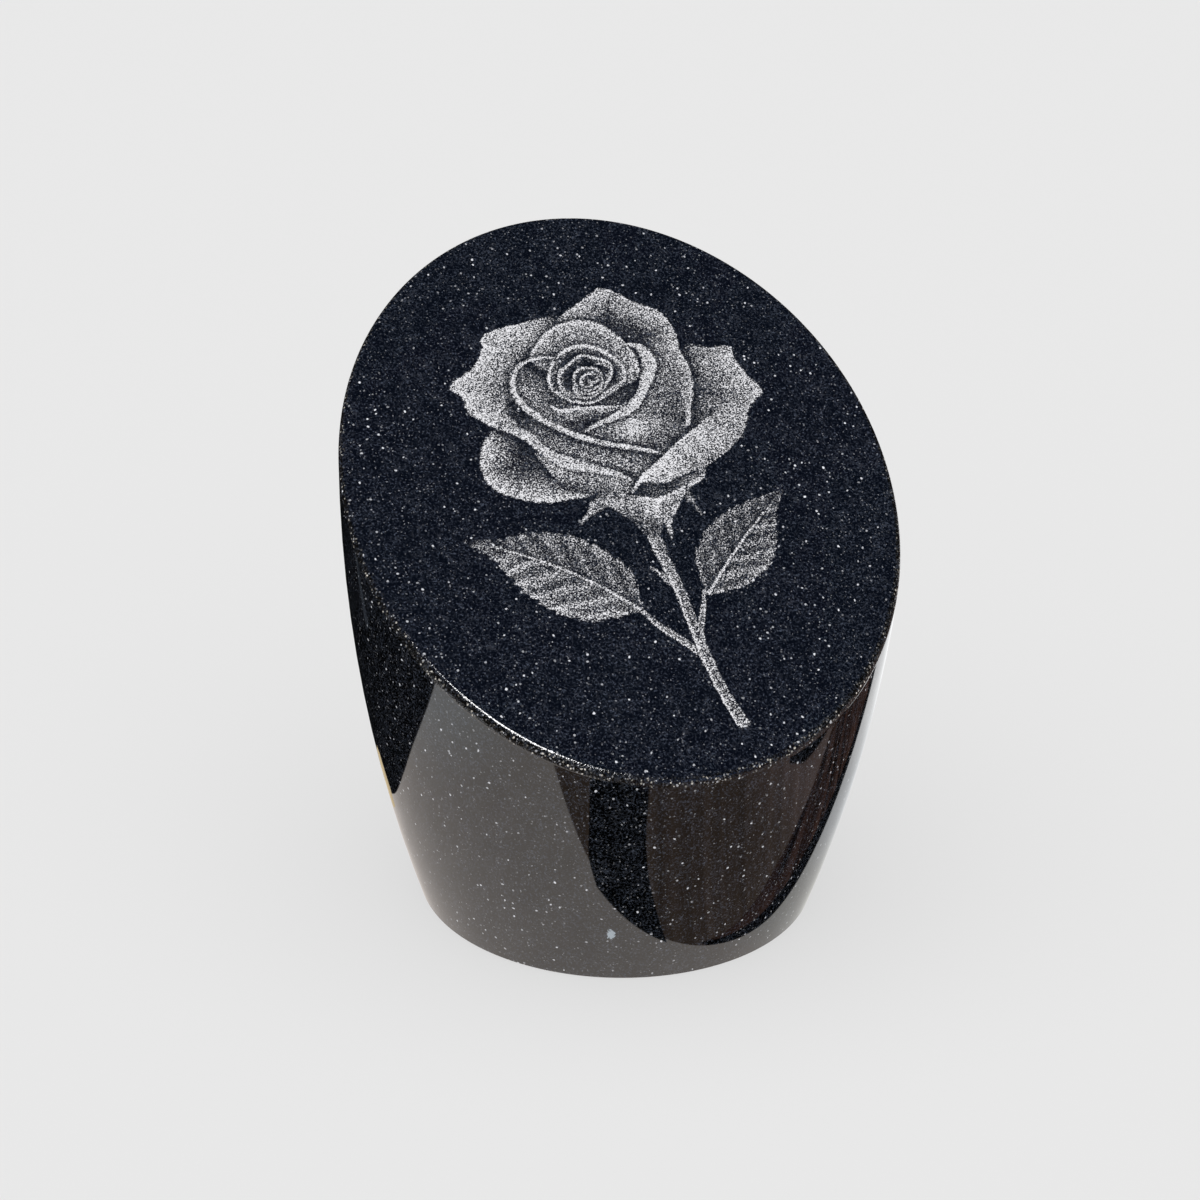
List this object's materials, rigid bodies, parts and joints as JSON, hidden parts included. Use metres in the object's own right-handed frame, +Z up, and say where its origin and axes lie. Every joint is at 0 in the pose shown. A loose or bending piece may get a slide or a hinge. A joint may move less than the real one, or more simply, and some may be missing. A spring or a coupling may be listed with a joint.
{
  "type": "headstone",
  "caption": "Short round barrel-sided memorial pillar of polished black granite, cut at a slant into an oval face with an etched rose; stands by its own weight.",
  "frame": {"origin": "centre of the round foot, on the ground", "axes": "+Z up along the pillar's axis, the slanted face looks towards -Y and up, +X to the right of someone who faces it"},
  "size_m": [0.2166, 0.2104, 0.2476],
  "materials": {
    "polished_black_granite": "polished"
  },
  "bodies": {
    "root": {"memorial_stone": "polished_black_granite"}
  },
  "joints": []
}
